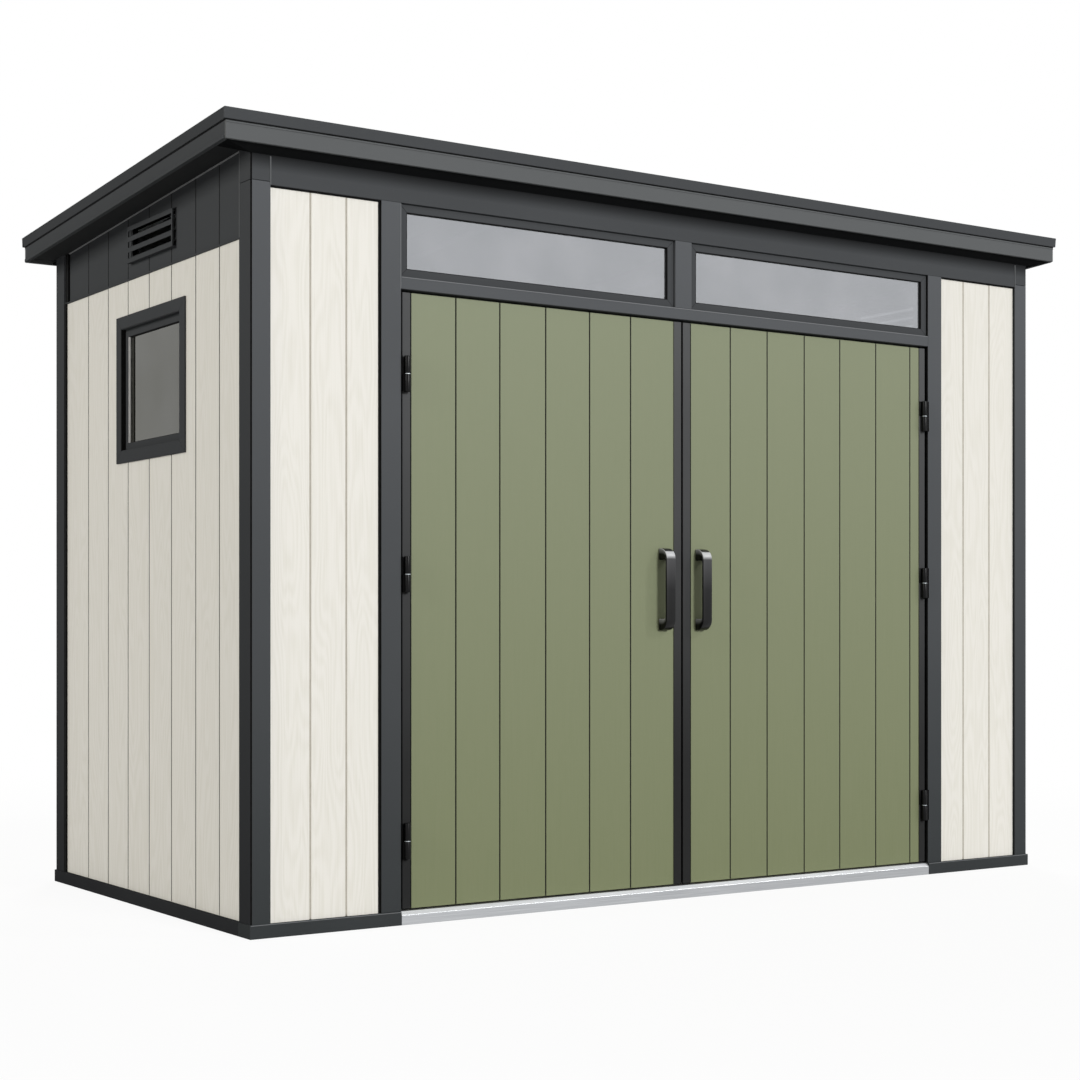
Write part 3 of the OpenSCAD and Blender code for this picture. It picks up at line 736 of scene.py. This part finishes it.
def pull_handle(node, body, bend, bar, leg, fillet):
    low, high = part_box(node)
    reach, tall = high.y - low.y, high.z - low.z
    gap = reach - bar
    outline = [(0, tall), *arc((reach - bend, tall - bend), bend, 90, 0, 14),
               *arc((reach - bend, bend), bend, 0, -90, 14), (0, 0), (0, leg),
               *arc((gap - fillet, leg + fillet), fillet, -90, 0, 5),
               *arc((gap - fillet, tall - leg - fillet), fillet, 0, 90, 5), (0, tall - leg)]
    bm = bmesh.new()
    pull_face(bm, [(low.x, high.y - out, low.z + up) for out, up in outline], (high.x - low.x, 0, 0))
    bmesh.ops.recalc_face_normals(bm, faces=bm.faces)
    ease(bm, sharp_edges(bm), 2.5 * MM, 3)
    return finish_piece(node + "_bent", bm, body, handle_coat, [node], 20)


for side in ("left", "right"):
    pull_handle(side + "_door_handle", side + "_door", bend=35 * MM, bar=9 * MM, leg=37 * MM, fillet=6 * MM)
print("handles made")

# %% [markdown]
# ## Hinges
# A lift-off hinge has a fixed lower knuckle with a pin, a loose upper knuckle that drops
# over it, and a bright washer between them. The knuckles are cylinders with rounded rims,
# set on the axis that the joint turns about. The lower one and its plates ride on the shed,
# the upper one on the leaf.


# %% Hinges
def knuckle(bm, x, y, z0, z1, radius, rim):
    made = bmesh.ops.create_cone(bm, cap_ends=True, segments=40, radius1=radius, radius2=radius,
                                 depth=z1 - z0, matrix=Matrix.Translation((x, y, (z0 + z1) / 2)))["verts"]
    rims = {e for v in made for e in v.link_edges if abs(e.verts[0].co.z - e.verts[1].co.z) < 0.001 * MM}
    ease(bm, rims, rim, 3)


def plate(bm, low, high, rim):
    verts = set(slab(bm, low, high))
    ease(bm, {e for v in verts for e in v.link_edges}, rim)


hinge_heights = (246 * MM, 1030 * MM, 1619 * MM)
hinge_half = 53 * MM
knuckle_r, knuckle_rim = 10 * MM, 1.2 * MM
washer_half, washer_r = 1.1 * MM, 9.6 * MM
# the ends of the knuckles towards the washer, and the sizes of the plates
fixed_end, loose_end = 1.2 * MM, 1.4 * MM
plate_t, plate_rim, post_gap, leaf_reach, reveal_depth = 3 * MM, 0.4 * MM, 20 * MM, 15 * MM, 37 * MM
fixed, plates, washers = bmesh.new(), bmesh.new(), bmesh.new()
for joint in frame["joints"]:
    x, y, _ = joint["pos_m"]
    leaf = joint["child"]
    inward = 1 if leaf == "left_door" else -1
    post_face = x - inward * post_gap
    stile_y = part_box(leaf + "_stiles")[0].y
    loose = bmesh.new()
    for z in hinge_heights:
        foot, head = z - hinge_half, z + hinge_half
        knuckle(fixed, x, y, foot, z - fixed_end, knuckle_r, knuckle_rim)
        knuckle(loose, x, y, z + loose_end, head, knuckle_r, knuckle_rim)
        knuckle(washers, x, y, z - washer_half, z + washer_half, washer_r, 0.3 * MM)
        x0, x1 = sorted((post_face, x))
        plate(plates, (x0, y - plate_t / 2, foot), (x1, y + plate_t / 2, z - fixed_end), plate_rim)
        x0, x1 = sorted((post_face, post_face + inward * plate_t))
        plate(plates, (x0, y - plate_t / 2, foot), (x1, y + reveal_depth, head), plate_rim)
        x0, x1 = sorted((x, x + inward * leaf_reach))
        plate(loose, (x0, stile_y - plate_t, z + loose_end), (x1, stile_y, head), 0.5 * MM)
    finish_piece(leaf + "_hinge_knuckles", loose, leaf, black_coat, [leaf + "_hinges"], 40)
finish_piece("post_hinge_knuckles", fixed, "shed", black_coat, ["fixed_hinges"], 40)
finish_piece("post_hinge_plates", plates, "shed", matt_black)
finish_piece("hinge_washers", washers, "shed", zinc, (), 40)

# %% [markdown]
# ## Vents
# Each vent is a small louvre that stands out from the gable: lipped blades between two
# uprights, so rain runs off and air goes up behind them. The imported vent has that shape, so
# its mesh only gets eased edges and the frame's finish. The panes get the glass.

# %% Vents and panes
for node in ("left_vent", "right_vent"):
    folded(node, side_coat, 0.5 * MM, 1)
for node, finish in (("transom_glass", transom_glass), ("side_window_glass", side_glass)):
    pane = frame["nodes"][node]
    pane.data.materials.clear()
    pane.data.materials.append(finish)
print("vents and panes finished")

# %% [markdown]
# ## Glazing strips
# A black rubber strip seals each pane in its frame and shows as a fine dark line. It is four
# slim bars round the pane, just in front of the glass. The side window also has a bead at
# each end of the pane, white as a painted highlight, and a lining that closes the step from
# casing to sash: black rubber at the ends, painted shade in the reveal, and the side coat at
# head and foot.


# %% Glazing strips
def glazing_strip(bm, low, high, through, depth, bar=2 * MM):
    across = 1 - through
    a0, a1 = low[across], high[across]
    span = (low[through] - depth, low[through])
    inner = (low.z + bar, high.z - bar)
    for a, z in (((a0, a1), (low.z, low.z + bar)), ((a0, a1), (high.z - bar, high.z)),
                 ((a0, a0 + bar), inner), ((a1 - bar, a1), inner)):
        panel_box(bm, across, a, span, z)


strips = bmesh.new()
low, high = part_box("side_window_glass")
glazing_strip(strips, low, high, 0, 4 * MM)
bead_w, bead_short = 4 * MM, 1 * MM
pane_beads = bmesh.new()
for y0, y1 in ((low.y, low.y + bead_w), (high.y - bead_w, high.y)):
    slab(pane_beads, (low.x - 8 * MM, y0, low.z + bead_short), (low.x - 2 * MM, y1, high.z - bead_short))
finish_piece("window_beads", pane_beads, "shed", white_lit_bead)
low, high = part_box("transom_glass")
mullion_low, mullion_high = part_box("transom_mullion")
frame_bar = 24 * MM
glazing_strip(strips, low, Vector((mullion_low.x - frame_bar, high.y, high.z)), 1, 7 * MM)
glazing_strip(strips, Vector((mullion_high.x + frame_bar, low.y, low.z)), high, 1, 7 * MM)
# lining of the side window, between casing and sash: its ends in black rubber, painted
# shade in the reveal
sash_low, sash_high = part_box("side_window_sash")
lining_t = 1.5 * MM
lining_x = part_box("side_window_casing")[0].x + 2 * MM
for y0, y1 in ((sash_low.y, sash_low.y + lining_t), (sash_high.y - lining_t, sash_high.y)):
    slab(strips, (lining_x, y0, sash_low.z), (sash_low.x, y1, sash_high.z))
heads = bmesh.new()
for z0, z1 in ((sash_low.z, sash_low.z + lining_t), (sash_high.z - lining_t, sash_high.z)):
    slab(heads, (lining_x, sash_low.y + lining_t, z0), (sash_low.x, sash_high.y - lining_t, z1))
finish_piece("window_head_linings", heads, "shed", side_coat)
finish_piece("glazing_strips", strips, "shed", rubber)
print("glazing strips made")

# %% [markdown]
# ## Wall shade strips
# Where a wall panel meets a post or the header, a black rubber strip fills the corner as
# painted shade and draws a sharp dark line round the panel. It stops just short of the face
# of the post. The same black strip is painted shade in the joint between the roof cap and
# the fascia, all round the roof.


# %% Wall shade strips
def outside(low, high, axis, out):
    # the span just outside a wall, away from the middle of the shed
    return (low[axis] - out, low[axis]) if low[axis] < 0 else (high[axis], high[axis] + out)


shades = bmesh.new()
shade_w, head_w, back_w, gable_w = 3 * MM, 5 * MM, 11 * MM, 24.2 * MM
front_out, shade_out = 2 * MM, 7 * MM
for node, out, left, right, head in (("front_left_cladding", front_out, 1.2 * MM, 6.5 * MM, head_w),
                                     ("front_right_cladding", front_out, shade_w, shade_w, head_w),
                                     ("back_wall", shade_out, shade_w, shade_w, shade_w)):
    low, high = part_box(node)
    y0, y1 = outside(low, high, 1, out)
    slab(shades, (low.x, y0, low.z), (low.x + left, y1, high.z))
    slab(shades, (high.x - right, y0, low.z), (high.x, y1, high.z))
    slab(shades, (low.x + left, y0, high.z - head), (high.x - right, y1, high.z))
for side in ("left", "right"):
    low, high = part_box(side + "_wall")
    x0, x1 = outside(low, high, 0, shade_out)
    slab(shades, (x0, low.y, low.z), (x1, low.y + shade_w, high.z))
    slab(shades, (x0, high.y - back_w, low.z), (x1, high.y, high.z))
    low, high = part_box(side + "_gable")
    x0, x1 = outside(low, high, 0, shade_out)
    slab(shades, (x0, high.y - gable_w, low.z), (x1, high.y, high.z))
cut_off(shades, soffit_front, soffit_normal)
# the painted shade in the joint under the cap, laid to the fall of the roof at the sides
cap_step, cap_h, cap_joint, film = 8 * MM, 32 * MM, 3.5 * MM, 0.6 * MM
roof_x0, roof_x1 = cap_low.x + cap_step, cap_high.x - cap_step
roof_y0, roof_y1 = cap_low.y + cap_step, cap_high.y - cap_step
for y0, edge in ((roof_y0 - film, cap_low.y), (roof_y1, cap_high.y)):
    foot = cap_top(edge) - cap_h
    slab(shades, (roof_x0, y0, foot - cap_joint), (roof_x1, y0 + film, foot))
for x0 in (roof_x0 - film, roof_x1):
    foot = cap_high.z - cap_h
    for v in slab(shades, (x0, roof_y0, foot - cap_joint), (x0 + film, roof_y1, foot)):
        v.co.z -= cap_high.z - cap_top(v.co.y)
finish_piece("wall_seals", shades, "shed", rubber)
print("wall seals made")

# %% [markdown]
# ## Gable drips and soffit beads
# The foot of each gable panel ends in a small folded drip that throws rain clear of the
# cream boards below it. It is a slim bar with its edges eased. At the head, a slim bead
# covers the joint with the soffit; its pale grey is a painted highlight, a light line under
# the dark overhang. It is what two parallel cuts along the slope leave of a box.

# %% Gable drips and soffit beads
drips, beads = bmesh.new(), bmesh.new()
drip_out, bead_out, bead_t = 8 * MM, 5 * MM, 2.2 * MM
for node in ("left_gable", "right_gable"):
    low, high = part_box(node)
    x0, x1 = outside(low, high, 0, drip_out)
    plate(drips, (x0, low.y, low.z - 1 * MM), (x1, high.y, low.z + 4 * MM), 0.8 * MM)
    x0, x1 = outside(low, high, 0, bead_out)
    slab(beads, (x0, low.y, low.z), (x1, high.y, high.z))
finish_piece("gable_drips", drips, "shed", side_coat)
cut_off(beads, soffit_front, soffit_normal)
cut_off(beads, soffit_front - soffit_normal * bead_t, soffit_normal, above=False)
finish_piece("soffit_beads", beads, "shed", pale_bead_paint)
print("gable drips and soffit beads made")

# %% [markdown]
# ## Edge trims
# Slim trims draw light lines under the roof edge. A sloping lip runs along the top of the
# front and back fascias, just under the cap, where its upward slope catches the light, and a
# flat strip covers each joint between the header and its corner blocks, and the edge of each
# front post beside the gable. All are in the lighter coat, a painted highlight. The lip is
# a triangle pulled along the eaves.

# %% Edge trims
trims = bmesh.new()
lip_out, lip_h, lip_drop = 1.5 * MM, 5 * MM, 8.5 * MM
for y, out, edge in ((roof_y0, -lip_out, cap_low.y), (roof_y1, lip_out, cap_high.y)):
    z = cap_top(edge) - cap_h - lip_drop
    pull_face(trims, ((roof_x0, y, z), (roof_x0, y + out, z), (roof_x0, y, z + lip_h)),
              (roof_x1 - roof_x0, 0, 0))
strip_half, strip_out, strip_short = 2.2 * MM, 1.5 * MM, 20 * MM
for x in (header_low.x, header_high.x):
    plate(trims, (x - strip_half, header_low.y - strip_out, header_low.z),
          (x + strip_half, header_low.y + 1 * MM, header_high.z - strip_short), 0.5 * MM)
gable_low, gable_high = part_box("left_gable")
cover_half, cover_w, cover_short = 0.8 * MM, 5 * MM, 10 * MM
for x in (block_low.x, block_high.x):
    plate(trims, (x - cover_half, block_high.y - cover_w, gable_low.z),
          (x + cover_half, block_high.y, gable_high.z - cover_short), 0.3 * MM)
finish_piece("edge_trims", trims, "shed", trim_coat)
print("edge trims made")

# %% [markdown]
# The top of the rail over the doors, the left door post beside the transom light and the
# top of the front base get paler edges, painted highlights, made as thin plates on the faces.

# %% Painted highlight edges
edges = bmesh.new()
highlight_out, highlight_rim, highlight_short = 0.8 * MM, 0.3 * MM, 2 * MM
rail_low, rail_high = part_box("transom_rail")
jamb_low, jamb_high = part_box("left_door_post")
plate(edges, (rail_low.x + highlight_short, rail_low.y - highlight_out, rail_high.z - 3.2 * MM),
      (rail_high.x - highlight_short, rail_low.y, rail_high.z - 0.4 * MM), highlight_rim)
plate(edges, (jamb_high.x - 2.6 * MM, jamb_low.y - highlight_out, rail_low.z),
      (jamb_high.x - 0.2 * MM, jamb_low.y, header_low.z - highlight_short), highlight_rim)
base_low, base_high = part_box("base_front")
sill_low, sill_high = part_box("threshold")
for x0, x1 in ((base_low.x, sill_low.x), (sill_high.x, base_high.x)):
    plate(edges, (x0 + highlight_short, base_low.y - highlight_out, base_high.z - 2.8 * MM),
          (x1 - highlight_short, base_low.y, base_high.z - 0.3 * MM), highlight_rim)
finish_piece("worn_edges", edges, "shed", edge_coat)
print("worn edges made")

# %% [markdown]
# ## Studio
# A wide pale floor and an even pale surround stand for the studio. Both look white to the
# camera, in gloss and through glass, which takes a mix by the kind of ray, because a floor
# that is lit to white would throw its light on the shed. Near the shed the floor keeps a
# soft shadow.


# %% Floor and surround
def studio_ray(tree):
    path = add_node(tree, "ShaderNodeLightPath")
    seen = add_node(tree, "ShaderNodeMath", {"operation": "MAXIMUM"},
                    {0: path.outputs["Is Camera Ray"], 1: path.outputs["Is Glossy Ray"]})
    return add_node(tree, "ShaderNodeMath", {"operation": "MAXIMUM"},
                    {0: seen, 1: path.outputs["Is Transmission Ray"]})


floor_bm = bmesh.new()
bmesh.ops.create_grid(floor_bm, x_segments=1, y_segments=1, size=60)
floor_mesh = bpy.data.meshes.new("studio_floor")
floor_bm.to_mesh(floor_mesh)
floor_bm.free()
floor = bpy.data.objects.new("studio_floor", floor_mesh)
bpy.context.scene.collection.objects.link(floor)
floor_paint = bpy.data.materials.new("white_floor_paint")
floor_paint.use_nodes = True
tree = floor_paint.node_tree
tree.nodes.clear()
seen = studio_ray(tree)
tone = add_node(tree, "ShaderNodeMapRange", inputs={"Value": seen, "To Min": 0.4, "To Max": 0.9})
matt = add_node(tree, "ShaderNodeBsdfDiffuse", inputs={"Color": tone})
white = add_node(tree, "ShaderNodeEmission", inputs={"Color": (1, 1, 1, 1), "Strength": 1.0})
place = add_node(tree, "ShaderNodeTexCoord").outputs["Object"]
away = add_node(tree, "ShaderNodeVectorMath", {"operation": "LENGTH"}, {0: place}).outputs["Value"]
# the shadow fades out from 2 m to 6 m from the middle of the shed
plainness = add_node(tree, "ShaderNodeMapRange", {"interpolation_type": "SMOOTHSTEP"},
                     {"Value": away, "From Min": 2.0, "From Max": 6.0, "To Min": 0.92, "To Max": 1.0})
share = add_node(tree, "ShaderNodeMath", {"operation": "MULTIPLY"}, {0: seen, 1: plainness})
both = add_node(tree, "ShaderNodeMixShader", inputs={0: share, 1: matt, 2: white})
add_node(tree, "ShaderNodeOutputMaterial", inputs={"Surface": both})
floor_mesh.materials.append(floor_paint)

world = bpy.data.worlds.new("studio")
bpy.context.scene.world = world
world.use_nodes = True
tree = world.node_tree
tree.nodes.clear()
soft = add_node(tree, "ShaderNodeBackground", inputs={"Color": (1, 1, 1, 1), "Strength": 0.18})
plain = add_node(tree, "ShaderNodeBackground", inputs={"Color": (1, 1, 1, 1), "Strength": 1.0})
both = add_node(tree, "ShaderNodeMixShader", inputs={0: studio_ray(tree), 1: soft, 2: plain})
add_node(tree, "ShaderNodeOutputWorld", inputs={"Surface": both})
print("studio floor and surround ready")

# %% [markdown]
# The key lamp stands far in front of the shed, high and a little to the right of the doors,
# so the front is bright and even, the left wall is a step darker and the handles throw
# clear shadows. A small lamp higher up and further to the right adds to it. A weaker lamp
# on the left keeps the window side readable, and another does the same for the back, which
# the photograph doesn't show.


# %% Lamps
def soft_lamp(name, place, aim, size, watts, colour=(1, 1, 1)):
    lamp = bpy.data.objects.new(name, bpy.data.lights.new(name, "AREA"))
    lamp.data.shape = "SQUARE"
    lamp.data.size = size
    lamp.data.energy = watts
    lamp.data.color = colour
    lamp.location = place
    lamp.rotation_euler = (Vector(aim) - Vector(place)).to_track_quat("-Z", "Y").to_euler()
    bpy.context.scene.collection.objects.link(lamp)


soft_lamp("key_lamp", (6.2, -38.5, 12.9), (0.2, -0.7, 1.2), 8.5, 10900)
soft_lamp("sky_lamp", (25.2, -21.9, 24.2), (0.2, -0.7, 1.2), 4.0, 2400)
soft_lamp("fill_lamp", (-16.5, -1.2, 7.0), (-1.5, 0, 1.2), 7.0, 1345, (1.0, 0.98, 0.93))
soft_lamp("back_lamp", (9.0, 15.0, 9.0), (0, 0.5, 1.2), 7.0, 2600)
bpy.context.scene.view_settings.view_transform = "Standard"
print("lamps set")

# %% Update the scene
bpy.context.view_layer.update()
